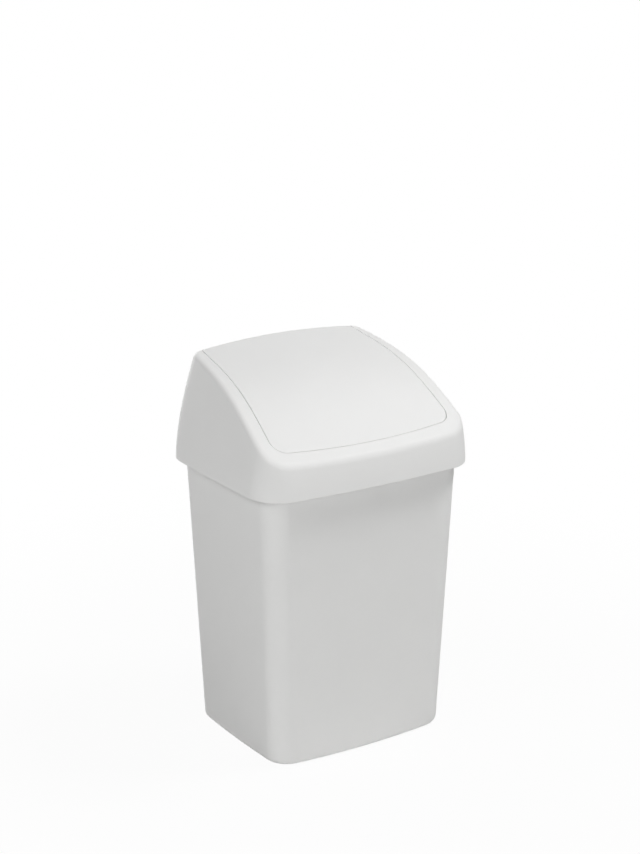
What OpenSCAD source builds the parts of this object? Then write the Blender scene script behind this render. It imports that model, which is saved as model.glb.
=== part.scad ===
// Countertop swing bin: a tapered tub, a hood that caps its rim, and a curved flap that swings in the hood.
// Millimetres. X is the width, the front faces -Y, and the origin is the middle of the base on the table.

/* [Bin body] */
// Height of the tub from the table to the top of its rim
body_h = 278; // [230:1:330]
// Width of the tub at its rim, without the bow of its walls
rim_w = 211.4; // [180:0.1:250]
// Depth of the tub at its rim, without the bow of its walls
rim_d = 163.4; // [140:0.1:195]
// Width of the tub at the table
base_w = 188.4; // [160:0.1:225]
// Depth of the tub at the table
base_d = 147.6; // [120:0.1:175]
// Radius of the upright corners at the rim
rim_r = 19.2; // [16:0.1:26]
// Radius of the upright corners at the table
base_r = 20; // [15:0.1:24]
// Outward bow of the front and back walls
bow_front = 6.3; // [2:0.1:9]
// Outward bow of the side walls
bow_side = 2.3; // [0.5:0.1:4]
// Radius between the walls and the base
base_fillet = 7; // [6:0.1:10]
// Wall thickness of the tub
body_wall = 1.8; // [1.4:0.1:2.4]
// Width of the flat foot ring that stands on the table
foot_w = 4; // [3:0.5:8]
// How far the middle of the base is raised off the table
foot_lift = 2; // [1:0.1:4]
// How far the rim stands out from the wall
rim_out = 4.2; // [3:0.1:4.8]
// Height of the rim's turned-down lip
rim_lip_h = 7; // [5:0.5:9]

/* [Hood] */
// How far the skirt hangs down below the top of the rim
skirt_drop = 11.2; // [8:0.1:20]
// How far the bottom of the skirt stands out from the tub wall
skirt_out = 9.8; // [8.4:0.1:11]
// Wall thickness of the hood
hood_wall = 2; // [1.6:0.1:2.4]
// Height of the front face, from the skirt's edge to the front crease
front_h = 34.2; // [28:0.1:45]
// Height of the ridge above the skirt's edge
ridge_h = 98.8; // [85:0.1:125]
// How far the ridge lies in front of the skirt's back edge
ridge_in = 14; // [12:0.1:22]
// How far the front crease leans in from the skirt's edge
front_in = 4; // [1:0.1:6]
// How far the side creases lean in at the front
side_in_front = 5; // [3:0.1:8]
// How far the side creases lean in at the back
side_in_back = 24.8; // [18:0.1:26]
// Slope of the top at its front, in degrees
front_slope = 33; // [22:0.5:34]
// Slope of the top where it reaches the ridge, in degrees
ridge_slope = 7.2; // [6:0.1:14]
// Rise of the top's middle above its sides, at the front
crown_front = 0.3; // [0:0.1:4]
// Rise of the top's middle above its sides, at the ridge
crown_back = 5.6; // [1:0.1:9]
// Radius of the ridge in side view
ridge_r = 7; // [6:0.5:12]
// Length of each crease's rounding, from the sharp edge to where it ends
edge_soft = 4.5; // [4:0.1:7]
// Plan radius of the crease at its corners
crease_r = 20; // [18:0.5:30]
// Height and depth of the ribs that sit on the rim
rib_h = 13; // [9:0.5:16]
// Thickness of the ribs that sit on the rim
rib_t = 1.6; // [1.2:0.1:2.4]

/* [Opening] */
// Width of each side rail, from the side crease to the opening, at the front
side_rail_front = 12.9; // [10:0.1:18]
// Width of each side rail, from the side crease to the opening, at the back
side_rail_back = 6.6; // [5.2:0.1:12]
// Depth of the rail between the front crease and the opening
front_rail = 11.2; // [8.5:0.1:14]
// Plan radius of the opening's front corners
opening_r_front = 13; // [9:0.5:18]
// Plan radius of the opening's back corners
opening_r_back = 6; // [4:0.5:9]
// Depth of the flange that hangs from the opening's edge
flange_h = 6; // [4:0.5:9]

/* [Swing flap] */
// Gap between the flap and the opening, at its sides and back
flap_gap = 1.1; // [0.9:0.1:2]
// Gap between the flap and the opening at its front, which closes tighter
front_gap = 0.7; // [0.6:0.1:2]
// Thickness of the flap's panel and edge
flap_wall = 1.8; // [1.6:0.1:2.4]
// Depth of the flap's turned-down edge
flap_edge_h = 13; // [9:0.5:15]

/* [Pivots] */
// Place of the pivots behind the middle of the bin
pivot_y = -9.5; // [-16:0.1:0]
// Depth of the pivots below the top's surface
pivot_drop = 3.6; // [3.4:0.1:6]
// Radius of each pivot pin
pin_r = 2; // [1.6:0.1:2.2]
// Running clearance between a pin and its hole
pin_clear = 0.06; // [0.02:0.01:0.1]
// Radius of the lug round each hole
lug_r = 5; // [4:0.1:7]
// Thickness of each lug
lug_t = 3.2; // [2.4:0.1:4]
// Opening angle of the flap, to look at it ajar
swing = 0; // [0:1:80]

// Thickness of the brackets that stop the flap
stop_t = 3; // [2:0.5:5]
// Height of the brackets that stop the flap
stop_h = 14; // [10:0.5:20]
// Gap between the closed flap and its brackets
stop_gap = 0.3; // [0.2:0.05:0.6]

/* [Hidden] */
SMOOTH = 48;
CORNER_STEPS = 8;
SIDE_STEPS = 8;
QUARTER = CORNER_STEPS + SIDE_STEPS;
FINE_STEPS = 24;
WALL_LEAN_POWER = 1.65;
BACK_LEAN_POWER = 2.2;
CROWN_POWER = 2;
// Lengths of the top curve's two handles, as shares of its chord
FRONT_HANDLE = 0.43;
RIDGE_HANDLE = 0.475;
RIDGE_STEPS = 12;
// Step of the ridge's rounding at which the opening ends, and share of the back wall's height at its crease
OPENING_END = 8;
CREASE_END = 0.6;
// How far one solid reaches into the wall that it is part of
EMBED = 0.8;
// Outer radius and inner chamfer of the tub's rim, and chamfer of the flap's edge
RIM_ROUND = 1.5;
RIM_SOFT = 0.8;
FLAP_SOFT = 0.6;
// Depth of the ledges where a rib rests on the rim and where a stop meets the flap
RIB_LEDGE = 2;
STOP_LEDGE = 1;
// Clear space at each side between the flap's ears and the hood's lugs and the edges beside them
SIDE_PLAY = 0.5;
PLASTIC = [0.93, 0.93, 0.92];

skirt_z = body_h - skirt_drop;
skirt_w = lerp(base_w, rim_w, skirt_z / body_h) + 2 * skirt_out;
skirt_d = lerp(base_d, rim_d, skirt_z / body_h) + 2 * skirt_out;
skirt_r = lerp(base_r, rim_r, skirt_z / body_h) + skirt_out;

// Inset of the opening's corners from the skirt's side
opening_in_front = side_in_front + side_rail_front;
opening_in_back = side_in_back + side_rail_back;

function lerp(a, b, t) = a + (b - a) * t;
function unit(v) = v / norm(v);
function bezier(p, t) = pow(1 - t, 3) * p[0] + 3 * t * pow(1 - t, 2) * p[1]
  + 3 * t * t * (1 - t) * p[2] + pow(t, 3) * p[3];
// A round arc from a to b that is tangent to both legs of the corner c
function corner_arc(a, c, b, steps) =
  let (turn = 180 - acos(unit(a - c) * unit(b - c)), k = cos(turn / 2))
  [for (i = [0:steps])
    let (t = i / steps, d = pow(1 - t, 2) + 2 * k * t * (1 - t) + t * t)
    (pow(1 - t, 2) * a + 2 * k * t * (1 - t) * c + t * t * b) / d];

// A closed plan outline: four round corners, from the right back one, on a tapered rectangle with bowed sides
function outline(w_front, w_back, y_front, y_back, r_front, r_back, bow_x, bow_y) =
  let (hw = (w_front + w_back) / 4, hd = (y_back - y_front) / 2, yc = (y_back + y_front) / 2,
    taper = (w_back - w_front) / (w_back + w_front),
    corners = [for (q = [0:4]) corner(q % 4, hw, hd, q % 4 < 2 ? r_back : r_front)],
    flat = [for (q = [0:3])
      let (start = on_corner(corners[q], 90 * (q + 1)), end = on_corner(corners[q + 1], 90 * (q + 1)))
      each concat(
        [for (i = [0:CORNER_STEPS]) on_corner(corners[q], 90 * (q + i / CORNER_STEPS))],
        [for (i = [1:SIDE_STEPS - 1]) lerp(start, end, i / SIDE_STEPS)])])
  [for (p = flat) [
    p.x * (1 + bow_x / hw * (1 - pow(p.y / hd, 2))) * (1 + taper * p.y / hd),
    p.y * (1 + bow_y / hd * (1 - pow(p.x / hw, 2))) + yc]];
// Centre and radius of one of the four corners
function corner(q, hw, hd, r) = [(q == 0 || q == 3 ? 1 : -1) * (hw - r), (q < 2 ? 1 : -1) * (hd - r), r];
function on_corner(c, a) = [c.x, c.y] + c.z * [cos(a), sin(a)];
function at_z(plan, z) = [for (p = plan) [p.x, p.y, z]];

// Skin over rings of points, run up the outside and down the inside, with a point or a loop at the ends
module skin(rings, looped) {
  n = len(rings[0]);
  m = len(rings);
  first = len(rings) * n;
  // Both halves are split alike, so that the left one mirrors the right one
  sides = [for (k = [0:m - (looped ? 1 : 2)], j = [0:n - 1])
    let (next = (j + 1) % n, above = (k + 1) % m * n,
      right = rings[k][j].x + rings[k][next].x > 0,
      a = k * n + j, b = k * n + next, c = above + next, d = above + j)
    each right ? [[a, d, c], [a, c, b]] : [[a, d, b], [d, c, b]]];
  caps = looped ? [] : [for (j = [0:n - 1]) each [
    [first, j, (j + 1) % n],
    [(m - 1) * n + j, first + 1, (m - 1) * n + (j + 1) % n]]];
  middle = function (ring) [0, ring_mean(ring, 1), ring_mean(ring, 2)];
  ends = looped ? [] : [middle(rings[0]), middle(rings[m - 1])];
  polyhedron(points = concat([for (r = rings) each r], ends), faces = concat(sides, caps), convexity = 6);
}
function ring_mean(ring, axis) = let (v = [for (p = ring) p[axis]]) (max(v) + min(v)) / 2;

// ---- Tub ----
// Outline of the tub at a height, moved out from its wall
function body_plan(z, out) =
  let (t = z / body_h, w = lerp(base_w, rim_w, t) + 2 * out, d = lerp(base_d, rim_d, t) + 2 * out,
    r = lerp(base_r, rim_r, t) + out)
  outline(w, w, -d / 2, d / 2, r, r, bow_side, bow_front);
function body_ring(out, z) = at_z(body_plan(z, out), z);

module bin_body() {
  floor_z = foot_lift + body_wall;
  inner_fillet = base_fillet - body_wall;
  foot_in = base_fillet + foot_w;
  rings = concat(
    [body_ring(-foot_in - foot_lift, foot_lift), body_ring(-foot_in, 0)],
    [for (a = [0:15:90]) body_ring(-base_fillet * (1 - sin(a)), base_fillet * (1 - cos(a)))],
    [body_ring(0, body_h - body_wall),
      body_ring(rim_out - body_wall, body_h - body_wall),
      body_ring(rim_out - body_wall, body_h - rim_lip_h),
      body_ring(rim_out, body_h - rim_lip_h)],
    [for (a = [0:30:90]) body_ring(rim_out - RIM_ROUND * (1 - cos(a)), body_h - RIM_ROUND * (1 - sin(a)))],
    [body_ring(-body_wall + RIM_SOFT, body_h), body_ring(-body_wall, body_h - RIM_SOFT)],
    [for (a = [90:-22.5:0]) let (down = 1 - cos(a), in = 1 - sin(a))
      body_ring(-body_wall - inner_fillet * in, floor_z + inner_fillet * down)]);
  color(PLASTIC) skin(rings, false);
}

// ---- Top surface of the hood and flap ----
front_y = -skirt_d / 2 + front_in;
front_z = skirt_z + front_h;
ridge_y = skirt_d / 2 - ridge_in;
ridge_z = skirt_z + ridge_h;
back_slope = atan2(ridge_h, ridge_in * BACK_LEAN_POWER);
top_chord = norm([ridge_y - front_y, ridge_z - front_z]);
// Side view of the top from the front crease to the ridge
top_curve = [[front_y, front_z],
  [front_y, front_z] + FRONT_HANDLE * top_chord * [cos(front_slope), sin(front_slope)],
  [ridge_y, ridge_z] - RIDGE_HANDLE * top_chord * [cos(ridge_slope), sin(ridge_slope)],
  [ridge_y, ridge_z]];
ridge_leg = ridge_r * tan((ridge_slope + back_slope) / 2);
ridge_arc = corner_arc([ridge_y, ridge_z] - ridge_leg * [cos(ridge_slope), sin(ridge_slope)],
  [ridge_y, ridge_z],
  [ridge_y, ridge_z] + ridge_leg * [cos(back_slope), -sin(back_slope)], RIDGE_STEPS);
// Place in side view of the back wall, at a share of the ridge's height
function back_point(s) = [skirt_d / 2 - ridge_in * pow(s, BACK_LEAN_POWER), skirt_z + ridge_h * s];
side_view = concat(
  [[front_y - 2 * bow_front * cos(front_slope), front_z - 2 * bow_front * sin(front_slope)]],
  [for (i = [0:40]) let (p = bezier(top_curve, i / 40)) if (p.x < ridge_arc[0].x - 0.5) p],
  ridge_arc,
  [for (i = [24:-1:0]) let (p = back_point(i / 24)) if (p.x > ridge_arc[RIDGE_STEPS].x + 0.5) p]);
// How far the bowed back wall stands out behind its side view, at a place of the plan
function back_bow(p) = bow_front * (1 - pow(2 * p.x / skirt_w, 2)) * pow(max(p.y, 0) * 2 / skirt_d, 2);
// How far the top's middle rises over its sides, at a place of the plan
function crown_at(p) =
  lerp(crown_front, crown_back, min(1, max(0, (p.y - front_y) / (ridge_y - front_y))))
    * (1 - pow(abs(p.x) / (skirt_w / 2 - opening_in_front), CROWN_POWER));
// Height of the top above any point of the plan
function top_z(p) = lookup(p.y - back_bow(p), side_view) + crown_at(p);
function slope_factor(p) = norm([1, top_z(p + [0, 0.5]) - top_z(p - [0, 0.5])]);
function on_top(p, down) = [p.x, p.y, top_z(p) - down * slope_factor(p)];
function drape(plan, down) = [for (p = plan) on_top(p, down)];

// Plan outlines of the skirt's edge, the crease, the opening and the flap, each moved in by a distance
function skirt_plan(in) = outline(skirt_w - 2 * in, skirt_w - 2 * in, -skirt_d / 2 + in, skirt_d / 2 - in,
  skirt_r - in, skirt_r - in, bow_side, bow_front);
function crease_plan(in) = outline(
  skirt_w - 2 * (side_in_front + in), skirt_w - 2 * (side_in_back + in),
  front_y + in, back_point(CREASE_END).x - in, crease_r - in, crease_r - in, bow_side, bow_front);
function opening_plan(in) = outline(
  skirt_w - 2 * (opening_in_front + in), skirt_w - 2 * (opening_in_back + in),
  front_y + front_rail + in, ridge_arc[OPENING_END].x - in,
  opening_r_front - in, opening_r_back - in, 0, bow_front);
function flap_plan(in) = let (side_in = flap_gap + in) outline(
  skirt_w - 2 * (opening_in_front + side_in), skirt_w - 2 * (opening_in_back + side_in),
  front_y + front_rail + front_gap + in, ridge_arc[OPENING_END].x - side_in,
  opening_r_front - side_in, opening_r_back - side_in, 0, bow_front);

// ---- Hood ----
// How strongly a wall's lean grows with height: more at the back than at the sides
function lean_power(foot, top) =
  let (facing_back = max(0, unit([foot.x - top.x, foot.y - top.y]).y))
  lerp(WALL_LEAN_POWER, BACK_LEAN_POWER, pow(facing_back, 1.5));
function wall_point(foot, top, s) =
  let (t = pow(s, lean_power(foot, top)))
  [lerp(foot.x, top.x, t), lerp(foot.y, top.y, t), lerp(foot.z, top.z, s)];
// Points over the top from one place of the plan to another, at even distances along the surface
function over_top(start, end, down, steps) =
  let (fine = [for (i = [0:FINE_STEPS]) on_top(lerp(start, end, i / FINE_STEPS), down)],
    steps_run = [0, for (i = [1:FINE_STEPS]) norm(fine[i] - fine[i - 1])],
    run = [for (i = 0, d = 0; i <= FINE_STEPS; i = i + 1, d = d + (i > FINE_STEPS ? 0 : steps_run[i])) d],
    share_at = [for (i = [0:FINE_STEPS]) [run[i] / run[FINE_STEPS], i / FINE_STEPS]])
  [for (i = [1:steps]) on_top(lerp(start, end, lookup(i / steps, share_at)), down)];
// Stations from the skirt's edge, up the wall, round the crease and over the rail to the opening
function hood_path(foot, crease, edge, leg, down, steps) =
  let (wall_top = crease + leg * unit(wall_point(foot, crease, 0.9) - crease),
    rail_start = on_top(crease + leg * unit(edge - crease), down))
  concat(
    [for (s = [0, 0.25, 0.5, 0.7]) wall_point(foot, crease, s)],
    corner_arc(wall_top, crease, rail_start, 4),
    over_top(rail_start, edge, down, steps));
function transpose(rows) = [for (k = [0:len(rows[0]) - 1]) [for (r = rows) r[k]]];

module hood_shell() {
  outer_foot = at_z(skirt_plan(0), skirt_z);
  outer_crease = drape(crease_plan(0), 0);
  edge = drape(opening_plan(0), 0);
  inner_foot = at_z(skirt_plan(hood_wall), skirt_z);
  inner_crease = drape(crease_plan(hood_wall), hood_wall);
  inner_edge = drape(opening_plan(-hood_wall), hood_wall);
  all_j = [0:len(edge) - 1];
  outside = transpose([for (j = all_j) hood_path(outer_foot[j], outer_crease[j], edge[j], edge_soft, 0, 9)]);
  inside = transpose([for (j = all_j)
    hood_path(inner_foot[j], inner_crease[j], inner_edge[j], edge_soft - 1.5, hood_wall, 5)]);
  // Where the top is steep, the foot of the flange stays under the inside of the wall
  flange = [
    [for (p = edge) p - [0, 0, flange_h]],
    [for (j = all_j) let (p = inner_edge[j]) [p.x, p.y, min(edge[j].z - flange_h, p.z - EMBED)]]];
  skin(concat(outside, flange, [for (k = [len(inside) - 1:-1:0]) inside[k]]), true);
}

// Rib inside the wall at one place round the skirt, square to the wall, whose foot sits on the rim
module seat_rib(j) {
  feet = skirt_plan(0);
  crease = on_top(crease_plan(0)[j], 0);
  along = unit(feet[(j + 1) % len(feet)] - feet[j - 1]);
  inward = [-along.y, along.x];
  run = [crease.x - feet[j].x, crease.y - feet[j].y] * inward;
  power = lean_power(feet[j], crease);
  wall_in = function (z) run * pow((z - skirt_z) / (crease.z - skirt_z), power);
  top = body_h + rib_h;
  reach = skirt_out + body_wall / 2;
  translate([feet[j].x, feet[j].y, 0])
    rotate([90, 0, atan2(inward.y, inward.x)])
      linear_extrude(rib_t, center = true)
        polygon([[wall_in(body_h) + EMBED, body_h], [reach, body_h], [reach, body_h + RIB_LEDGE],
          [wall_in(top) + hood_wall + EMBED, top], [wall_in(top) + EMBED, top]]);
}

pivot_z = top_z([opening_half(pivot_y), pivot_y]) - pivot_drop;
// Half the width of the opening at a place along its side
function opening_half(y) =
  let (y0 = front_y + front_rail, y1 = ridge_arc[OPENING_END].x)
  skirt_w / 2 - lerp(opening_in_front, opening_in_back, (y - y0) / (y1 - y0));

// Round ear below the pivot with a neck up into the top, in side view
module ear_side(depth) {
  x = opening_half(pivot_y);
  polygon(concat(
    [for (a = [180:360 / SMOOTH:360]) [pivot_y, pivot_z] + lug_r * [cos(a), sin(a)]],
    [for (y = [pivot_y + lug_r, pivot_y - lug_r]) [y, top_z([x, y]) - depth]]));
}
module across(x0, x1) {
  for (side = [-1, 1])
    scale_x(side) translate([x0, 0, 0]) rotate([90, 0, 90]) linear_extrude(x1 - x0) children();
}
module scale_x(side) {
  if (side > 0) children();
  else mirror([1, 0, 0]) children();
}
module pivot_rods(x0, x1, r) {
  for (side = [-1, 1])
    scale_x(side) translate([x0, pivot_y, pivot_z]) rotate([0, 90, 0])
      cylinder(h = x1 - x0, r = r, $fn = SMOOTH);
}

// Bracket on the back wall that the flap's back edge comes to rest on
module stop_bracket(j) {
  edge = drape(flap_plan(0), 0)[j];
  top = edge.z - flap_edge_h - stop_gap;
  bottom = top - stop_h;
  wall_y = function (z) let (y = back_point((z - crown_at(edge) - skirt_z) / ridge_h).x)
    y + back_bow([edge.x, y + back_bow([edge.x, y])]) - hood_wall / 2;
  translate([edge.x, 0, 0]) rotate([90, 0, 90]) linear_extrude(stop_t, center = true)
    polygon([[edge.y - flap_wall - STOP_LEDGE, top], [wall_y(top), top], [wall_y(bottom), bottom],
      [wall_y(bottom) - STOP_LEDGE, bottom], [edge.y - flap_wall - STOP_LEDGE, top - 2 * STOP_LEDGE]]);
}

module lid_hood() {
  x = opening_half(pivot_y);
  color(PLASTIC)
    difference() {
      union() {
        hood_shell();
        for (side = [0:3], i = side % 2 == 0 ? [2, 4, 6] : [2, 6])
          seat_rib(side * QUARTER + CORNER_STEPS + i);
        across(x + SIDE_PLAY, x + SIDE_PLAY + lug_t) ear_side(hood_wall * 0.7);
        for (i = [2, 6]) stop_bracket(CORNER_STEPS + i);
      }
      pivot_rods(x - 2, x + lug_t + 2, pin_r + pin_clear);
    }
}

module swing_flap() {
  x = opening_half(pivot_y) - flap_gap;
  // Rings of the panel, close together near its edge, where it rolls over the ridge
  shrink = [1, 0.985, 0.97, 0.955, 0.94, 0.92, 0.89, 0.84, 0.74, 0.6, 0.42, 0.22];
  plan = flap_plan(0);
  inner = flap_plan(flap_wall);
  yc = ring_mean(plan, 1);
  scaled = function (pts, s) [for (p = pts) [p.x * s, yc + (p.y - yc) * s]];
  edge = drape(plan, 0);
  rings = concat(
    [for (i = [len(shrink) - 1:-1:0]) drape(scaled(inner, shrink[i]), flap_wall)],
    [[for (j = [0:len(edge) - 1]) [inner[j].x, inner[j].y, edge[j].z - flap_edge_h]],
      [for (p = edge) p - [0, 0, flap_edge_h]],
      [for (p = edge) p - [0, 0, FLAP_SOFT]]],
    [for (s = shrink) drape(scaled(flap_plan(FLAP_SOFT), s), 0)]);
  color(PLASTIC)
    translate([0, pivot_y, pivot_z]) rotate([swing, 0, 0]) translate([0, -pivot_y, -pivot_z])
      union() {
        skin(rings, false);
        across(x - SIDE_PLAY - lug_t, x - SIDE_PLAY) ear_side(flap_wall * 0.7);
        pivot_rods(x - lug_t, x + flap_gap + SIDE_PLAY + lug_t, pin_r);
      }
}

bin_body();
lid_hood();
swing_flap();
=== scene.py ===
"""Countertop swing bin: a tapered tub, a hood that caps its rim, and a curved flap that swings in the hood.

Sizes are the CAD part's own, in millimetres, and meshes are in metres. X is the width, the front faces -Y, and the
origin is the middle of the base on the table. Each of the three mouldings stands for its CAD node and rides on its
body.
"""

import logging
import math
from dataclasses import dataclass
from enum import Enum
from functools import cached_property, partial

import bmesh
import bpy
import numpy as np
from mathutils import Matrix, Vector


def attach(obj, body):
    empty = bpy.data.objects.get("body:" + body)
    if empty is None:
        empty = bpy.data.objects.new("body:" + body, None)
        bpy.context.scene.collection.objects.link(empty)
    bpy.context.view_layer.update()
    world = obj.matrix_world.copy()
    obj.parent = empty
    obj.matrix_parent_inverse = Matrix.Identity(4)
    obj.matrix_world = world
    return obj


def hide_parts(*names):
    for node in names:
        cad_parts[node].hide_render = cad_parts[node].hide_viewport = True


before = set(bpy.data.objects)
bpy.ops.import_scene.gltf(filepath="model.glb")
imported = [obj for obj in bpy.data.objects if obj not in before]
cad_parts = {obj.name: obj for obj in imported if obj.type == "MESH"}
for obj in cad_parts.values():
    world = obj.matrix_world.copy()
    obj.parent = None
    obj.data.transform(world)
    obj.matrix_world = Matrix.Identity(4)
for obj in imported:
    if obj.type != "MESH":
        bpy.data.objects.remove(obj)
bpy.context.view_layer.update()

LOG = logging.getLogger("swing_bin")
MM = 0.001

# Points that lie closer together than this become one
WELD = 0.002 * MM

# Points round a plan outline: each quarter is one corner and the side that follows it
CORNER_STEPS = 24
SIDE_STEPS = 48
QUARTER = CORNER_STEPS + SIDE_STEPS
AROUND = 4 * QUARTER


# ---------------- small geometry


def lerp(start: float | np.ndarray, end: float | np.ndarray, share: float | np.ndarray) -> float | np.ndarray:
    """Returns the point or number at a share of the way from start to end."""
    return start + (end - start) * share


def unit(vector: np.ndarray) -> np.ndarray:
    """Returns vectors of length 1, taken along the last axis."""
    return vector / np.linalg.norm(vector, axis=-1, keepdims=True)


def round_corner(before: np.ndarray, corner: np.ndarray, after: np.ndarray, steps: int) -> np.ndarray:
    """Makes round arcs that are tangent to both legs of a corner.

    Args:
        before: where each arc starts, on the first leg.
        corner: the sharp corner.
        after: where each arc ends, on the second leg.
        steps: the number of steps in each arc.

    Returns:
        The arcs' points, with the place along the arc as the first axis.
    """
    cosine = np.sum(unit(before - corner) * unit(after - corner), axis=-1)[..., None]
    weight = np.cos((np.pi - np.arccos(np.clip(cosine, -1, 1))) / 2)
    t = np.linspace(0, 1, steps + 1).reshape(-1, *([1] * before.ndim))
    shares = ((1 - t) ** 2, 2 * weight * t * (1 - t), t**2)
    return (shares[0] * before + shares[1] * corner + shares[2] * after) / sum(shares)


@dataclass(frozen=True)
class Station:
    """One ring of a moulding's section, and how far from it the rounding of that edge starts, in millimetres."""

    points: np.ndarray
    soften: float = 0.0


def soften_edges(stations: list[Station], steps: int = 5) -> np.ndarray:
    """Rounds the stations that have a softened edge, as a mould's tool radius does.

    Args:
        stations: the rings in order along the section.
        steps: the number of steps in each rounding.

    Returns:
        All rings as one array, with the place along the section as the first axis.
    """
    rings = []
    for place, station in enumerate(stations):
        here = station.points
        if not station.soften:
            rings.append(here[None])
            continue
        before = stations[place - 1].points
        after = stations[(place + 1) % len(stations)].points
        rings.append(round_corner(here + station.soften * unit(before - here), here,
                                  here + station.soften * unit(after - here), steps))
    return np.concatenate(rings)


def outline(widths: tuple[float, float], ends: tuple[float, float], radii: tuple[float, float],
            bows: tuple[float, float]) -> np.ndarray:
    """Makes a closed plan outline: four round corners on a tapered rectangle with bowed sides.

    Args:
        widths: width at the front and at the back.
        ends: Y of the front and of the back.
        radii: corner radius at the front and at the back.
        bows: outward bow of the side walls, and of the front and back walls.

    Returns:
        The outline's points, counter-clockwise from the middle of the right back corner's start.
    """
    half = np.array([(widths[0] + widths[1]) / 4, (ends[1] - ends[0]) / 2])
    taper = (widths[1] - widths[0]) / (widths[1] + widths[0])
    quarter, part = np.divmod(np.arange(AROUND), QUARTER)
    angle = (quarter + np.minimum(part / CORNER_STEPS, 1)) * np.pi / 2
    direction = np.stack([np.cos(angle), np.sin(angle)], axis=1)
    along = np.clip((part - CORNER_STEPS) / SIDE_STEPS, 0, 1)[:, None]
    signs = np.array([[1, 1], [-1, 1], [-1, -1], [1, -1]])
    radius = np.array([radii[1], radii[1], radii[0], radii[0]])[:, None]
    arcs = [signs[q % 4] * (half - radius[q % 4]) + radius[q % 4] * direction for q in (quarter, quarter + 1)]
    across, deep = lerp(arcs[0], arcs[1], along).T
    x = across * (1 + bows[0] / half[0] * (1 - (deep / half[1]) ** 2)) * (1 + taper * deep / half[1])
    y = deep * (1 + bows[1] / half[1] * (1 - (across / half[0]) ** 2)) + (ends[0] + ends[1]) / 2
    return np.stack([x, y], axis=1)


def raised(plan: np.ndarray, z: float | np.ndarray) -> np.ndarray:
    """Returns a plan's points at a height, or each at its own height."""
    return np.column_stack([plan, np.broadcast_to(z, len(plan))])


# ---------------- meshes and node trees


def add_node(tree: bpy.types.NodeTree, kind: str, inputs: dict | None = None, **settings) -> bpy.types.Node:
    """Adds one node to a tree.

    Args:
        tree: the tree that gets the node.
        kind: Blender's name for the kind of node.
        inputs: a value, socket or node for each input, by its name or place. A node stands for its first output.
        settings: the node's own properties.

    Returns:
        The new node.
    """
    made = tree.nodes.new(kind)
    for name, value in settings.items():
        setattr(made, name, value)
    for key, value in (inputs or {}).items():
        if isinstance(value, bpy.types.Node):
            value = next(socket for socket in value.outputs if socket.enabled)
        if isinstance(value, bpy.types.NodeSocket):
            tree.links.new(value, made.inputs[key])
        else:
            made.inputs[key].default_value = value
    return made


def add_object(name: str, points: np.ndarray, faces: list, edges: list = ()) -> bpy.types.Object:
    """Makes a mesh object at the origin and puts it in the scene.

    Args:
        name: the object's name.
        points: its points, in metres.
        faces: its faces, as lists of point numbers.
        edges: its loose edges, where it has no faces.

    Returns:
        The new object.
    """
    mesh = bpy.data.meshes.new(name)
    mesh.from_pydata(np.asarray(points).tolist(), list(edges), faces)
    made = bpy.data.objects.new(name, mesh)
    bpy.context.scene.collection.objects.link(made)
    return made


def loft(name: str, rings: np.ndarray, closed: bool) -> bpy.types.Object:
    """Skins rings that run up the outside of a moulding and down its inside.

    Args:
        name: the object's name.
        rings: the rings' points in millimetres, by place along the section and place round the plan.
        closed: True if the section is a closed loop, False if it starts and ends in the middle of the piece.

    Returns:
        The new object, watertight.
    """
    count, around = rings.shape[:2]
    row, column = np.meshgrid(np.arange(count if closed else count - 1), np.arange(around), indexing="ij")
    beside, above = (column + 1) % around, (row + 1) % count
    faces = np.stack([row * around + column, row * around + beside, above * around + beside,
                      above * around + column], axis=-1).reshape(-1, 4).tolist()
    points = rings.reshape(-1, 3)
    if not closed:
        first, last = len(points), (count - 1) * around
        points = np.vstack([points, *[(ring.max(0) + ring.min(0)) / 2 for ring in (rings[0], rings[-1])]])
        for j in range(around):
            beside = (j + 1) % around
            faces.append([first, beside, j])
            faces.append([last + j, last + beside, first + 1])
    return add_object(name, points * MM, faces)


def settle(piece: bpy.types.Object) -> None:
    """Turns a piece into the plain mesh that its modifiers make of it, and removes them.

    Args:
        piece: the piece, which keeps its name.
    """
    graph = bpy.context.evaluated_depsgraph_get()
    mesh = bpy.data.meshes.new_from_object(piece.evaluated_get(graph), preserve_all_data_layers=True, depsgraph=graph)
    piece.modifiers.clear()
    piece.data = mesh
    mesh.name = piece.name


def new_tree(name: str, inputs: dict[str, str], result: str) -> tuple[bpy.types.NodeTree, partial, dict]:
    """Starts a Geometry Nodes tree.

    Args:
        name: the tree's name.
        inputs: the kind of each input, by its name.
        result: the name of the geometry that it makes.

    Returns:
        The tree, a function that adds a node to it, and its inputs' sockets by name.
    """
    tree = bpy.data.node_groups.new(name, "GeometryNodeTree")
    for label, kind in inputs.items():
        tree.interface.new_socket(label, in_out="INPUT", socket_type="NodeSocket" + kind)
    tree.interface.new_socket(result, in_out="OUTPUT", socket_type="NodeSocketGeometry")
    given = add_node(tree, "NodeGroupInput").outputs
    return tree, partial(add_node, tree), {label: given[label] for label in inputs}


def run_tree(piece: bpy.types.Object, tree: bpy.types.NodeTree, values: dict) -> None:
    """Turns a piece into the plain mesh that a tree makes of it.

    Args:
        piece: the piece, whose mesh is the tree's first input.
        tree: the tree.
        values: a value for each other input, by its name.
    """
    modifier = piece.modifiers.new(tree.name, "NODES")
    modifier.node_group = tree
    for socket in tree.interface.items_tree:
        if socket.name in values:
            modifier[socket.identifier] = values[socket.name]
    settle(piece)


def shade(piece: bpy.types.Object, sharp_over: float = 40.0) -> None:
    """Shades a piece smooth, apart from edges that turn by more than an angle in degrees."""
    piece.data.polygons.foreach_set("use_smooth", [True] * len(piece.data.polygons))
    piece.data.set_sharp_from_angle(angle=math.radians(sharp_over))


class Join(Enum):
    """How a moulded detail meets the wall that it is on."""

    FUSE = "UNION"
    BORE = "DIFFERENCE"


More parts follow.
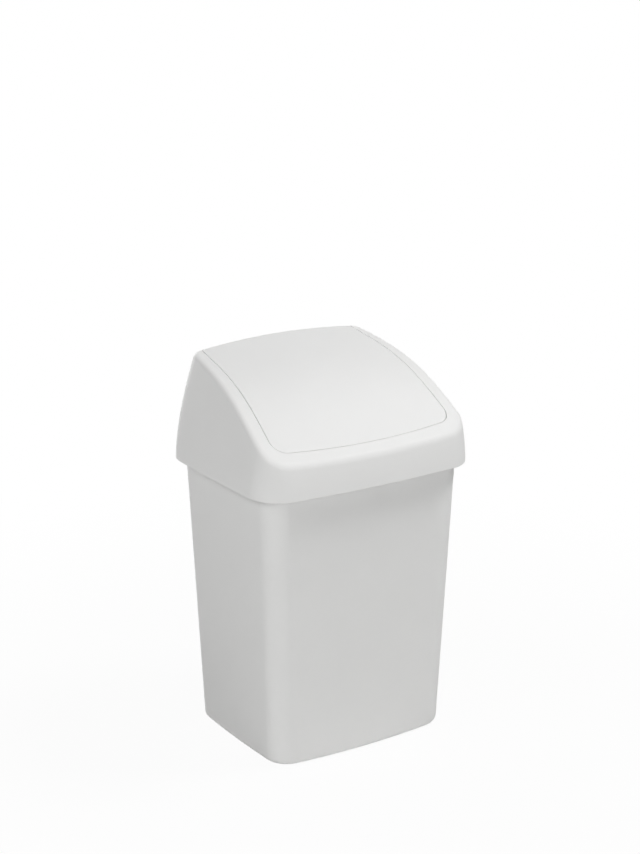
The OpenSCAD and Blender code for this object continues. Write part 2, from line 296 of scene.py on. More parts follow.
def join(piece: bpy.types.Object, detail: bpy.types.Object, how: Join) -> None:
    """Fuses a detail into a piece, or bores it out, and removes the detail.

    Args:
        piece: the piece that stays.
        detail: the solid that is fused or bored.
        how: which of the two.
    """
    modifier = piece.modifiers.new("join", "BOOLEAN")
    modifier.operation = how.value
    modifier.solver = "MANIFOLD"
    modifier.object = detail
    settle(piece)
    bpy.data.objects.remove(detail, do_unlink=True)


def closed_solid(name: str, shape: bmesh.types.BMesh) -> bpy.types.Object:
    """Turns a shape's faces outwards and makes it an object.

    Args:
        name: the object's name.
        shape: the closed shape, which is freed.

    Returns:
        The new object.
    """
    bmesh.ops.recalc_face_normals(shape, faces=shape.faces)
    made = add_object(name, np.zeros((0, 3)), [])
    shape.to_mesh(made.data)
    shape.free()
    return made


def prism(name: str, side: np.ndarray, spans: list[tuple[float, float]], soften: float = 0.0) -> bpy.types.Object:
    """Makes plates from one side view, one for each span of X.

    Args:
        name: the object's name.
        side: the side view's corners, as Y and Z in millimetres.
        spans: the lowest and highest X of each plate.
        soften: how far each edge is rounded.

    Returns:
        One object that holds all the plates.
    """
    shape = bmesh.new()
    for low, high in spans:
        ends = [[shape.verts.new((x * MM, y * MM, z * MM)) for y, z in side] for x in (low, high)]
        for end in ends:
            shape.faces.new(end)
        for k in range(len(side)):
            near = (k + 1) % len(side)
            shape.faces.new([ends[0][k], ends[0][near], ends[1][near], ends[1][k]])
    if soften:
        bmesh.ops.bevel(shape, geom=shape.edges[:], offset=soften * MM, segments=2, profile=0.5, affect="EDGES")
    return closed_solid(name, shape)


def pins(name: str, profile: list[tuple[float, float]], centre: tuple[float, float],
         around: int = 64) -> bpy.types.Object:
    """Makes a pair of turned pins on the flap's axis, the left one mirroring the right one.

    Args:
        name: the object's name.
        profile: distance from the middle plane and radius, in millimetres, along one pin.
        centre: Y and Z of the axis.
        around: the number of points round the pin.

    Returns:
        One object that holds both pins.
    """
    angle = np.linspace(0, 2 * np.pi, around, endpoint=False)
    shape = bmesh.new()
    for side in (1, -1):
        rings = [[shape.verts.new(Vector((side * x, centre[0] + r * math.cos(a), centre[1] + r * math.sin(a))) * MM)
                  for a in angle] for x, r in profile]
        shape.faces.new(rings[0])
        shape.faces.new(rings[-1])
        for low, high in zip(rings, rings[1:]):
            for j in range(around):
                shape.faces.new([low[j], low[(j + 1) % around], high[(j + 1) % around], high[j]])
    return closed_solid(name, shape)


# ---------------- finishes


def srgb(code: str) -> tuple[float, float, float, float]:
    """Returns an sRGB hex colour as linear red, green, blue and alpha."""
    levels = [int(code[i:i + 2], 16) / 255 for i in (1, 3, 5)]
    return (*(v / 12.92 if v <= 0.04045 else ((v + 0.055) / 1.055) ** 2.4 for v in levels), 1.0)


@dataclass(frozen=True)
class MouldedPolypropylene:
    """White polypropylene, injection moulded in a spark-eroded tool.

    The pigment makes it an even white that lets a little light through, and the tool's fine grain breaks its
    reflections into a broad soft sheen. The flow of the melt leaves faint cloudy changes in shade and gloss some 4 cm
    across. Widths and depths are in millimetres.
    """

    name: str
    white: str = "#F3F3F2"
    cloud: str = "#F0F0EF"
    gloss: float = 0.48
    matt: float = 0.56
    grain_width: float = 0.9
    grain_depth: float = 0.010
    flow_width: float = 42.0
    refraction: float = 1.49
    sheen_level: float = 0.3
    glow_through: float = 0.3
    glow_depth: float = 3.0

    def material(self) -> bpy.types.Material:
        """Builds the finish's node tree on Object coordinates.

        Returns:
            The material.
        """
        made = bpy.data.materials.new(self.name)
        made.use_nodes = True
        tree = made.node_tree
        tree.nodes.clear()
        add = partial(add_node, tree)
        place = add("ShaderNodeTexCoord").outputs["Object"]
        flow = add("ShaderNodeTexNoise",
                   {"Vector": place, "Scale": 1 / (self.flow_width * MM), "Detail": 3.0, "Roughness": 0.5})
        tint = add("ShaderNodeMix", {0: flow, 6: srgb(self.cloud), 7: srgb(self.white)}, data_type="RGBA")
        gloss = add("ShaderNodeMapRange",
                    {"Value": flow, "From Min": 0.3, "From Max": 0.7, "To Min": self.gloss, "To Max": self.matt})
        # The real grain is 0.05 mm wide and too fine to render, so it is drawn about 20 times as wide
        grain = add("ShaderNodeTexNoise",
                    {"Vector": place, "Scale": 1 / (self.grain_width * MM), "Detail": 2.0, "Roughness": 0.6})
        bump = add("ShaderNodeBump", {"Height": grain, "Distance": self.grain_depth * MM, "Strength": 1.0})
        # Thin white polypropylene glows a little where light reaches it from beside or behind
        plastic = add("ShaderNodeBsdfPrincipled",
                      {"Base Color": tint, "Roughness": gloss, "IOR": self.refraction,
                       "Specular IOR Level": self.sheen_level, "Subsurface Weight": self.glow_through,
                       "Subsurface Radius": (1.0, 1.0, 1.0), "Subsurface Scale": self.glow_depth * MM,
                       "Normal": bump})
        add("ShaderNodeOutputMaterial", {"Surface": plastic})
        return made


# ---------------- the shape that the pieces share


@dataclass(frozen=True)
class BinSizes:
    """Sizes that the tub, the hood and the flap share, in millimetres."""

    body_h: float = 278.0
    rim_w: float = 211.4
    rim_d: float = 163.4
    base_w: float = 188.4
    base_d: float = 147.6
    rim_r: float = 19.2
    base_r: float = 20.0
    bow_front: float = 6.3
    bow_side: float = 2.3
    skirt_drop: float = 11.2
    skirt_out: float = 9.8
    tub_wall: float = 1.8

    @property
    def bows(self) -> tuple[float, float]:
        """Returns the bow of the side walls, and of the front and back walls."""
        return self.bow_side, self.bow_front

    @property
    def skirt_z(self) -> float:
        """Returns the height of the hood's lower edge."""
        return self.body_h - self.skirt_drop

    @cached_property
    def skirt(self) -> tuple[float, float, float]:
        """Works out the hood's lower edge from the tub's walls at its height.

        Returns:
            Its width, depth and corner radius, before the bows.
        """
        share = self.skirt_z / self.body_h
        return (lerp(self.base_w, self.rim_w, share) + 2 * self.skirt_out,
                lerp(self.base_d, self.rim_d, share) + 2 * self.skirt_out,
                lerp(self.base_r, self.rim_r, share) + self.skirt_out)


@dataclass(frozen=True)
class TopForm:
    """The curved top that the hood and the flap share, and the plan outlines that are draped over it."""

    sizes: BinSizes
    front_h: float = 34.2
    ridge_h: float = 98.8
    ridge_in: float = 14.0
    front_in: float = 4.0
    side_in_front: float = 5.0
    side_in_back: float = 24.8
    front_slope: float = 33.0
    ridge_slope: float = 7.2
    front_handle: float = 0.43
    ridge_handle: float = 0.475
    crown_front: float = 0.3
    crown_back: float = 5.6
    crown_power: float = 2.0
    ridge_r: float = 7.0
    back_lean_power: float = 2.2
    crease_r: float = 20.0
    crease_back: float = 0.6
    opening_in_front: float = 17.9
    opening_in_back: float = 31.4
    front_rail: float = 11.2
    opening_r_front: float = 13.0
    opening_r_back: float = 6.0
    opening_on_ridge: float = 8 / 12
    flap_gap: float = 1.1
    front_gap: float = 0.7
    flap_wall: float = 1.8
    flap_edge_h: float = 13.0

    @cached_property
    def front(self) -> np.ndarray:
        """Returns Y and Z of the front crease."""
        return np.array([-self.sizes.skirt[1] / 2 + self.front_in, self.sizes.skirt_z + self.front_h])

    @cached_property
    def ridge(self) -> np.ndarray:
        """Returns Y and Z of the sharp ridge."""
        return np.array([self.sizes.skirt[1] / 2 - self.ridge_in, self.sizes.skirt_z + self.ridge_h])

    def back_point(self, share: np.ndarray) -> np.ndarray:
        """Returns Y and Z of the back wall at shares of the ridge's height."""
        return np.stack([self.sizes.skirt[1] / 2 - self.ridge_in * share**self.back_lean_power,
                         self.sizes.skirt_z + self.ridge_h * share], axis=-1)

    @cached_property
    def ridge_arc(self) -> np.ndarray:
        """Rounds the sharp ridge in side view.

        Returns:
            The arc's points, as Y and Z, from the top to the back wall.
        """
        down = math.atan2(self.ridge_h, self.ridge_in * self.back_lean_power)
        up = math.radians(self.ridge_slope)
        leg = self.ridge_r * math.tan((up + down) / 2)
        return round_corner(self.ridge - leg * np.array([math.cos(up), math.sin(up)]), self.ridge,
                            self.ridge + leg * np.array([math.cos(down), -math.sin(down)]), 96)

    @cached_property
    def side_view(self) -> np.ndarray:
        """Makes the whole top in side view.

        Returns:
            Points as Y and Z, from in front of the crease to the foot of the back wall.
        """
        chord = np.linalg.norm(self.ridge - self.front)
        slopes = [math.radians(a) for a in (self.front_slope, self.ridge_slope)]
        ways = [np.array([math.cos(a), math.sin(a)]) for a in slopes]
        handles = [self.front, self.front + self.front_handle * chord * ways[0],
                   self.ridge - self.ridge_handle * chord * ways[1], self.ridge]
        t = np.linspace(0, 1, 601)[:, None]
        top = sum(c * (1 - t) ** (3 - i) * t**i * p for i, (c, p) in enumerate(zip((1, 3, 3, 1), handles)))
        back = self.back_point(np.linspace(1, 0, 401))
        return np.vstack([self.front - 2 * self.sizes.bow_front * ways[0],
                          top[top[:, 0] < self.ridge_arc[0, 0] - 0.05], self.ridge_arc,
                          back[back[:, 0] > self.ridge_arc[-1, 0] + 0.05]])

    def crown(self, plan: np.ndarray) -> np.ndarray:
        """Works out how far the top's middle rises over its sides.

        Args:
            plan: places as X and Y.

        Returns:
            The rise at each place.
        """
        share = np.clip((plan[..., 1] - self.front[0]) / (self.ridge[0] - self.front[0]), 0, 1)
        half = self.sizes.skirt[0] / 2 - self.opening_in_front
        return lerp(self.crown_front, self.crown_back, share) * (1 - np.abs(plan[..., 0] / half) ** self.crown_power)

    def back_bow(self, plan: np.ndarray) -> np.ndarray:
        """Works out how far the bowed back wall stands out behind its side view.

        Args:
            plan: places as X and Y.

        Returns:
            The distance at each place.
        """
        width, depth = self.sizes.skirt[:2]
        return (self.sizes.bow_front * (1 - (2 * plan[..., 0] / width) ** 2)
                * (np.maximum(plan[..., 1], 0) * 2 / depth) ** 2)

    def height(self, plan: np.ndarray) -> np.ndarray:
        """Returns the top's height over places of the plan."""
        return np.interp(plan[..., 1] - self.back_bow(plan), *self.side_view.T) + self.crown(plan)

    def drape(self, plan: np.ndarray, down: float = 0.0) -> np.ndarray:
        """Lays places on the top, or under it.

        Args:
            plan: places as X and Y.
            down: how far under the top they lie, measured square to it.

        Returns:
            The points.
        """
        step = np.array([0.0, 0.5])
        rise = self.height(plan + step) - self.height(plan - step)
        return np.concatenate([plan, (self.height(plan) - down * np.hypot(1, rise))[..., None]], axis=-1)

    def skirt_plan(self, inset: float) -> np.ndarray:
        """Makes the outline of the hood's lower edge.

        Args:
            inset: how far the outline is moved in.

        Returns:
            The outline's points.
        """
        width, depth, radius = self.sizes.skirt
        return outline((width - 2 * inset,) * 2, (-depth / 2 + inset, depth / 2 - inset), (radius - inset,) * 2,
                       self.sizes.bows)

    def crease_plan(self, inset: float) -> np.ndarray:
        """Makes the outline of the crease between the walls and the top.

        Args:
            inset: how far the outline is moved in.

        Returns:
            The outline's points.
        """
        width = self.sizes.skirt[0]
        back = self.back_point(np.float64(self.crease_back))[0]
        return outline((width - 2 * (self.side_in_front + inset), width - 2 * (self.side_in_back + inset)),
                       (self.front[0] + inset, back - inset), (self.crease_r - inset,) * 2, self.sizes.bows)

    def opening_plan(self, inset: float, front_inset: float | None = None) -> np.ndarray:
        """Makes the outline of the flap's opening.

        Args:
            inset: how far the outline is moved in.
            front_inset: how far its front is moved in, where that is another distance.

        Returns:
            The outline's points.
        """
        width = self.sizes.skirt[0]
        front = self.front[0] + self.front_rail + (inset if front_inset is None else front_inset)
        return outline((width - 2 * (self.opening_in_front + inset), width - 2 * (self.opening_in_back + inset)),
                       (front, self.opening_back - inset),
                       (self.opening_r_front - inset, self.opening_r_back - inset), (0.0, self.sizes.bow_front))

    def flap_plan(self, inset: float) -> np.ndarray:
        """Returns the outline of the flap, moved in by a distance."""
        return self.opening_plan(self.flap_gap + inset, self.front_gap + inset)

    @cached_property
    def opening_back(self) -> float:
        """Returns Y of the opening's back edge, on the round ridge."""
        return float(self.ridge_arc[round(self.opening_on_ridge * (len(self.ridge_arc) - 1)), 0])

    def opening_half(self, y: float) -> float:
        """Works out half the opening's width at a place along its side.

        Args:
            y: the place.

        Returns:
            Half the width.
        """
        start = self.front[0] + self.front_rail
        share = (y - start) / (self.opening_back - start)
        return float(self.sizes.skirt[0] / 2 - lerp(self.opening_in_front, self.opening_in_back, share))


@dataclass(frozen=True)
class PivotSizes:
    """The flap's pivots: where they are and how the pins and lugs are made, in millimetres."""

    y: float = -9.5
    drop: float = 3.6
    pin_r: float = 2.0
    clearance: float = 0.06
    lug_r: float = 5.0
    lug_t: float = 3.2
    side_play: float = 0.5
    sunk: float = 0.7
    lug_soften: float = 0.3
    ear_soften: float = 0.25

    def axis(self, top: TopForm) -> tuple[float, float]:
        """Returns Y and Z of the axis under a top."""
        return self.y, float(top.height(np.array([top.opening_half(self.y), self.y]))) - self.drop

    def ear(self, top: TopForm, wall: float) -> np.ndarray:
        """Makes the side view of an ear that hangs from the top round the axis.

        Args:
            top: the top that it hangs from.
            wall: the wall that it starts in, at a share of its thickness below the surface.

        Returns:
            Its corners, as Y and Z.
        """
        y, z = self.axis(top)
        angle = np.linspace(np.pi, 2 * np.pi, 33)
        arc = np.stack([y + self.lug_r * np.cos(angle), z + self.lug_r * np.sin(angle)], axis=1)
        x = top.opening_half(self.y)
        neck = [[end, float(top.height(np.array([x, end]))) - self.sunk * wall]
                for end in (y + self.lug_r, y - self.lug_r)]
        return np.vstack([arc, neck])


# ---------------- the tub


@dataclass(frozen=True)
class Tub:
    """The tapered tub with its turned-down rim and raised base, one moulding."""

    sizes: BinSizes
    finish: MouldedPolypropylene
    base_fillet: float = 7.0
    foot_w: float = 4.0
    foot_lift: float = 2.0
    rim_out: float = 4.2
    rim_lip_h: float = 7.0

    def section(self) -> np.ndarray:
        """Draws the tub's section, from the middle of its underside over the rim to the middle of its floor.

        Returns:
            Points, each as its distance out from the wall, how far it is shrunk to the middle, and its height.
        """
        top, wall = self.sizes.body_h, self.sizes.tub_wall
        foot_in = self.base_fillet + self.foot_w
        floor = self.foot_lift + wall
        lip_in = self.rim_out - wall
        inner_fillet = self.base_fillet - wall
        shares = (1.0, 0.8, 0.6, 0.4, 0.2, 0.05, 0.0)
        corners = [
            *[(-foot_in - self.foot_lift - 1, share, self.foot_lift, 0.0) for share in shares],
            (-foot_in - self.foot_lift, 0.0, self.foot_lift, 0.8),
            (-foot_in, 0.0, 0.0, 0.8),
            (0.0, 0.0, 0.0, self.base_fillet - 0.001),
            *[(0.0, 0.0, z, 0.0) for z in np.linspace(self.base_fillet + 8, top - wall - 8, 30)],
            (0.0, 0.0, top - wall, 0.7),
            (lip_in, 0.0, top - wall, 0.7),
            (lip_in, 0.0, top - self.rim_lip_h, 0.4),
            (self.rim_out, 0.0, top - self.rim_lip_h, 0.6),
            (self.rim_out, 0.0, top, 1.6),
            (-wall, 0.0, top, 0.9),
            *[(-wall, 0.0, z, 0.0) for z in np.linspace(top - 8, floor + inner_fillet + 8, 30)],
            (-wall, 0.0, floor, inner_fillet),
            *[(-wall - inner_fillet - 1, share, floor, 0.0) for share in shares[::-1]],
        ]
        return soften_edges([Station(np.array(c[:3]), c[3]) for c in corners], 8)

    def moulding_tree(self) -> bpy.types.NodeTree:
        """Builds the node tree that runs a section round the tub's tapered, bowed outline.

        Returns:
            The tree, whose first input is the section.
        """
        tree, add, given = new_tree("tub_moulding", {
            "Section": "Geometry", "Height": "Float", "Base Half": "Vector", "Rim Half": "Vector",
            "Base Radius": "Float", "Rim Radius": "Float", "Bow": "Vector", "Corner Steps": "Int",
            "Side Steps": "Int", "Finish": "Material"}, "Tub")

        # A grid whose columns run round the tub and whose rows follow the section
        quarter_steps = add("FunctionNodeIntegerMath", {0: given["Corner Steps"], 1: given["Side Steps"]},
                            operation="ADD")
        columns = add("FunctionNodeIntegerMath", {0: quarter_steps, 1: 4, 2: 1}, operation="MULTIPLY_ADD")
        rows = add("GeometryNodeAttributeDomainSize", {0: given["Section"]}).outputs["Point Count"]
        grid = add("GeometryNodeMeshGrid", {"Vertices X": columns, "Vertices Y": rows})
        index = add("GeometryNodeInputIndex")
        column = add("FunctionNodeIntegerMath", {0: index, 1: rows}, operation="DIVIDE_FLOOR")
        row = add("FunctionNodeIntegerMath", {0: index, 1: rows}, operation="MODULO")
        place = add("GeometryNodeInputPosition")
        sample = add("GeometryNodeSampleIndex", {"Geometry": given["Section"], "Value": place, "Index": row},
                     data_type="FLOAT_VECTOR", domain="POINT")
        station = add("ShaderNodeSeparateXYZ", {0: sample}).outputs
        out, shrink, level = station["X"], station["Y"], station["Z"]

        # Each quarter is a round corner and then a side
        quarter = add("FunctionNodeIntegerMath", {0: column, 1: quarter_steps}, operation="DIVIDE_FLOOR")
        part = add("FunctionNodeIntegerMath", {0: column, 1: quarter_steps}, operation="MODULO")
        turn = add("ShaderNodeMath", {0: part, 1: given["Corner Steps"]}, operation="DIVIDE", use_clamp=True)
        past = add("FunctionNodeIntegerMath", {0: part, 1: given["Corner Steps"]}, operation="SUBTRACT")
        along = add("ShaderNodeMath", {0: past, 1: given["Side Steps"]}, operation="DIVIDE", use_clamp=True)
        turned = add("ShaderNodeMath", {0: quarter, 1: turn}, operation="ADD")
        angle = add("ShaderNodeMath", {0: turned, 1: math.pi / 2}, operation="MULTIPLY")
        square = add("ShaderNodeMath", {0: quarter, 1: math.pi / 2}, operation="MULTIPLY")
        way = add("ShaderNodeVectorRotate", {"Vector": (1, 0, 0), "Angle": angle}, rotation_type="Z_AXIS")
        here = add("ShaderNodeVectorRotate", {"Vector": (1, 1, 0), "Angle": square}, rotation_type="Z_AXIS")
        ahead = add("ShaderNodeVectorRotate", {"Vector": (-1, 1, 0), "Angle": square}, rotation_type="Z_AXIS")
        corner = add("ShaderNodeMix", {0: along, 4: here, 5: ahead}, data_type="VECTOR")

        # The wall's half size and corner radius at this height, and the point at its distance out
        share = add("ShaderNodeMath", {0: level, 1: given["Height"]}, operation="DIVIDE")
        wall_half = add("ShaderNodeMix", {0: share, 4: given["Base Half"], 5: given["Rim Half"]}, data_type="VECTOR")
        wall_radius = add("ShaderNodeMix", {0: share, 2: given["Base Radius"], 3: given["Rim Radius"]})
        core = add("ShaderNodeVectorMath", {0: wall_half, 1: wall_radius}, operation="SUBTRACT")
        radius = add("ShaderNodeMath", {0: wall_radius, 1: out}, operation="ADD")
        arm = add("ShaderNodeVectorMath", {0: way, "Scale": radius}, operation="SCALE")
        flat = add("ShaderNodeVectorMath", {0: corner, 1: core, 2: arm}, operation="MULTIPLY_ADD")

        # Each side bows outwards in its middle
        half = add("ShaderNodeVectorMath", {0: wall_half, 1: out}, operation="ADD")
        reach = add("ShaderNodeVectorMath", {0: flat, 1: half}, operation="DIVIDE")
        squared = add("ShaderNodeVectorMath", {0: reach, 1: reach}, operation="MULTIPLY")
        parts = add("ShaderNodeSeparateXYZ", {0: squared}).outputs
        swapped = add("ShaderNodeCombineXYZ", {"X": parts["Y"], "Y": parts["X"], "Z": 1.0})
        fall = add("ShaderNodeVectorMath", {0: (1, 1, 1), 1: swapped}, operation="SUBTRACT")
        strength = add("ShaderNodeVectorMath", {0: given["Bow"], 1: half}, operation="DIVIDE")
        bulge = add("ShaderNodeVectorMath", {0: strength, 1: fall, 2: (1, 1, 1)}, operation="MULTIPLY_ADD")
        bowed = add("ShaderNodeVectorMath", {0: flat, 1: bulge}, operation="MULTIPLY")
        kept = add("ShaderNodeMath", {0: 1.0, 1: shrink}, operation="SUBTRACT")
        drawn_in = add("ShaderNodeVectorMath", {0: bowed, "Scale": kept}, operation="SCALE")
        lifted = add("ShaderNodeCombineXYZ", {"Z": level})
        point = add("ShaderNodeVectorMath", {0: drawn_in, 1: lifted}, operation="ADD")

        moved = add("GeometryNodeSetPosition", {"Geometry": grid, "Position": point})
        welded = add("GeometryNodeMergeByDistance", {"Geometry": moved, "Distance": WELD})
        plain = add("GeometryNodeRealizeInstances", {"Geometry": welded})
        dressed = add("GeometryNodeSetMaterial", {"Geometry": plain, "Material": given["Finish"]})
        add("NodeGroupOutput", {0: dressed})
        return tree

    def build(self) -> bpy.types.Object:
        """Moulds the tub by its node tree.

        Returns:
            The tub.
        """
        section = self.section() * (MM, 1, MM)
        piece = add_object("tub", section, [], [(i, i + 1) for i in range(len(section) - 1)])
        size = self.sizes
        finish = self.finish.material()
        values = {"Height": size.body_h * MM, "Base Half": (size.base_w / 2 * MM, size.base_d / 2 * MM, 1.0),
                  "Rim Half": (size.rim_w / 2 * MM, size.rim_d / 2 * MM, 1.0), "Base Radius": size.base_r * MM,
                  "Rim Radius": size.rim_r * MM, "Bow": (size.bow_side * MM, size.bow_front * MM, 0.0),
                  "Corner Steps": CORNER_STEPS, "Side Steps": SIDE_STEPS, "Finish": finish}
        run_tree(piece, self.moulding_tree(), values)
        shade(piece)
        return piece


# ---------------- the hood


@dataclass(frozen=True)
class Hood:
    """The hood: leaning walls, a soft crease, a rail round the flap's opening, and what hangs inside it.

    The opening's edge stands in by its lip, which keeps the shadow line round the flap as thin as the photograph's.
    """

    top: TopForm
    pivot: PivotSizes
    finish: MouldedPolypropylene
    wall: float = 2.0
    lip: float = 0.3
    edge_soft: float = 4.5
    inner_edge_soft: float = 3.0
    outer_steps: tuple[int, int, int] = (26, 14, 30)
    inner_steps: tuple[int, int, int] = (16, 8, 16)
    last_step: float = 0.9
    side_lean_power: float = 1.65
    flange_h: float = 6.0
    flange_grip: float = 0.8
    rib_h: float = 13.0
    rib_t: float = 1.6
    stop_t: float = 3.0
    stop_h: float = 14.0
    stop_gap: float = 0.3

    def lean_power(self, foot: np.ndarray, crease: np.ndarray) -> np.ndarray:
        """Returns how strongly the walls' lean grows with height: more at the back than at the sides."""
        facing_back = np.maximum(unit((foot - crease)[..., :2])[..., 1], 0)
        return lerp(self.side_lean_power, self.top.back_lean_power, facing_back**1.5)

    def wall_point(self, foot: np.ndarray, crease: np.ndarray, share: np.ndarray) -> np.ndarray:
        """Places points on the leaning walls.

        Args:
            foot: the ring at the skirt's edge.
            crease: the sharp crease.
            share: shares of the walls' height, one for all or one for each point.

        Returns:
            The ring of points.
        """
        share = np.broadcast_to(share, foot.shape[:1])
        lean = share ** self.lean_power(foot, crease)
        level = lerp(foot[:, 2], crease[:, 2], share)
        return raised(lerp(foot[:, :2], crease[:, :2], lean[:, None]), level)

    def over_top(self, start: np.ndarray, end: np.ndarray, down: float, steps: int) -> list[np.ndarray]:
        """Runs over the top from one outline to another, at even distances along the surface.

        Args:
            start: the outline where the run starts.
            end: the outline where it ends.
            down: how far under the surface the run lies.
            steps: the number of rings that it takes.

        Returns:
            The rings, with the last one at the end and the one before it a short last step away.
        """
        shares = np.linspace(0, 1, 97)
        fine = np.stack([self.top.drape(lerp(start, end, s)[:, :2], down) for s in shares])
        run = np.vstack([np.zeros(len(start)), np.cumsum(np.linalg.norm(np.diff(fine, axis=0), axis=-1), axis=0)])
        rings = []
        for i in [*range(1, steps), steps]:
            wanted = run[-1] if i == steps else (run[-1] - self.last_step) * i / (steps - 1)
            share = np.array([np.interp(w, run[:, j], shares) for j, w in enumerate(wanted)])[:, None]
            rings.append(self.top.drape(lerp(start, end, share)[:, :2], down))
        return rings

    def side_of_section(self, foot: np.ndarray, crease: np.ndarray, edge: np.ndarray, leg: float, down: float,
                        steps: tuple[int, int, int]) -> list[np.ndarray]:
        """Runs from the skirt's edge up the wall, round the crease and over the rail to the opening.

        Args:
            foot: the ring at the skirt's edge.
            crease: the sharp crease.
            edge: the ring at the opening.
            leg: how far from the sharp crease its rounding starts.
            down: how far under the top's surface the rail lies.
            steps: the number of rings on the wall, the crease and the rail.

        Returns:
            The rings in that order.
        """
        near = crease + leg * unit(self.wall_point(foot, crease, np.array(0.9)) - crease)
        top_share = (near[:, 2] - foot[:, 2]) / (crease[:, 2] - foot[:, 2])
        rail_start = self.top.drape((crease + leg * unit(edge - crease))[:, :2], down)
        walls = [self.wall_point(foot, crease, top_share * s) for s in np.linspace(0, 1, steps[0] + 1)]
        arc = round_corner(walls[-1], crease, rail_start, steps[1])
        return [*walls[:-1], *arc, *self.over_top(rail_start, edge, down, steps[2])]

    def shell(self) -> bpy.types.Object:
        """Lofts the hood's shell, with its skirt, opening and flange.

        Returns:
            The shell.
        """
        top, skirt_z = self.top, self.top.sizes.skirt_z
        edge = top.drape(top.opening_plan(self.lip))
        inner_edge = top.drape(top.opening_plan(self.lip - self.wall), self.wall)
        outside = self.side_of_section(raised(top.skirt_plan(0), skirt_z), top.drape(top.crease_plan(0)), edge,
                                       self.edge_soft, 0, self.outer_steps)
        inside = self.side_of_section(raised(top.skirt_plan(self.wall), skirt_z),
                                      top.drape(top.crease_plan(self.wall), self.wall), inner_edge,
                                      self.inner_edge_soft, self.wall, self.inner_steps)
        flange_z = edge[:, 2] - self.flange_h
        # Where the top is steep, the foot of the flange stays under the inside of the wall
        foot_z = np.minimum(flange_z, inner_edge[:, 2] - self.flange_grip)
        stations = [Station(outside[0], 0.8), *[Station(p) for p in outside[1:-1]], Station(outside[-1], 0.3),
                    Station(raised(edge[:, :2], flange_z), 0.5), Station(raised(inner_edge[:, :2], foot_z), 0.4),
                    *[Station(p) for p in inside[::-1][:-1]], Station(inside[0], 0.6)]
        return loft("hood", soften_edges(stations), True)

    def ribs_tree(self) -> bpy.types.NodeTree:
        """Builds the node tree that sets one rib square to the wall at each point, leaning as the wall does.

        Returns:
            The tree, whose first input is the ribs' feet.
        """
        tree, add, given = new_tree("seat_ribs", {
            "Feet": "Geometry", "Reach": "Float", "Height": "Float", "Thickness": "Float", "Grip": "Float",
            "Wall": "Float", "Edge Radius": "Float", "Finish": "Material"}, "Ribs")

        # The rib's side view, with its foot on the rim and its long edge up the wall
        shoulder = add("ShaderNodeMath", {0: given["Wall"], 1: given["Grip"]}, operation="ADD")
        corners = [add("ShaderNodeCombineXYZ", {"X": x, "Y": y})
                   for x, y in ((given["Grip"], 0.0), (given["Reach"], 0.0), (shoulder, given["Height"]),
                                (given["Grip"], given["Height"]))]
        side = add("GeometryNodeCurvePrimitiveQuadrilateral",
                   {f"Point {i + 1}": corner for i, corner in enumerate(corners)}, mode="POINTS")
        softened = add("GeometryNodeFilletCurve",
                       {"Curve": side, "Count": 4, "Radius": given["Edge Radius"], "Limit Radius": True},
                       mode="POLY")
        half = add("ShaderNodeMath", {0: given["Thickness"], 1: 0.5}, operation="MULTIPLY")
        back = add("ShaderNodeMath", {0: half, 1: -1.0}, operation="MULTIPLY")
        line = add("GeometryNodeCurvePrimitiveLine",
                   {"Start": add("ShaderNodeCombineXYZ", {"Z": back}),
                    "End": add("ShaderNodeCombineXYZ", {"Z": half})})
        plate = add("GeometryNodeCurveToMesh", {"Curve": line, "Profile Curve": softened, "Fill Caps": True})

        # One at each foot, turned to face inwards
        turn = add("GeometryNodeInputNamedAttribute", {"Name": "turn"}, data_type="FLOAT")
        euler = add("ShaderNodeCombineXYZ", {"X": math.pi / 2, "Z": turn})
        rotation = add("FunctionNodeEulerToRotation", {0: euler})
        ribs = add("GeometryNodeInstanceOnPoints", {"Points": given["Feet"], "Instance": plate, "Rotation": rotation})
        plain = add("GeometryNodeRealizeInstances", {"Geometry": ribs})

        # Each leans in with its wall, by an amount that grows up the rib
        lean = add("GeometryNodeInputNamedAttribute", {"Name": "lean"}, data_type="FLOAT")
        foot_z = add("GeometryNodeInputNamedAttribute", {"Name": "foot_z"}, data_type="FLOAT")
        place = add("GeometryNodeInputPosition")
        height = add("ShaderNodeSeparateXYZ", {0: place}).outputs["Z"]
        above = add("ShaderNodeMath", {0: height, 1: foot_z}, operation="SUBTRACT")
        share = add("ShaderNodeMath", {0: above, 1: given["Height"]}, operation="DIVIDE")
        push = add("ShaderNodeMath", {0: lean, 1: share}, operation="MULTIPLY")
        inward = add("ShaderNodeVectorRotate", {"Vector": (1, 0, 0), "Angle": turn}, rotation_type="Z_AXIS")
        offset = add("ShaderNodeVectorMath", {0: inward, "Scale": push}, operation="SCALE")
        leaning = add("GeometryNodeSetPosition", {"Geometry": plain, "Offset": offset})
        welded = add("GeometryNodeMergeByDistance", {"Geometry": leaning, "Distance": WELD})
        dressed = add("GeometryNodeSetMaterial", {"Geometry": welded, "Material": given["Finish"]})
        add("NodeGroupOutput", {0: dressed})
        return tree

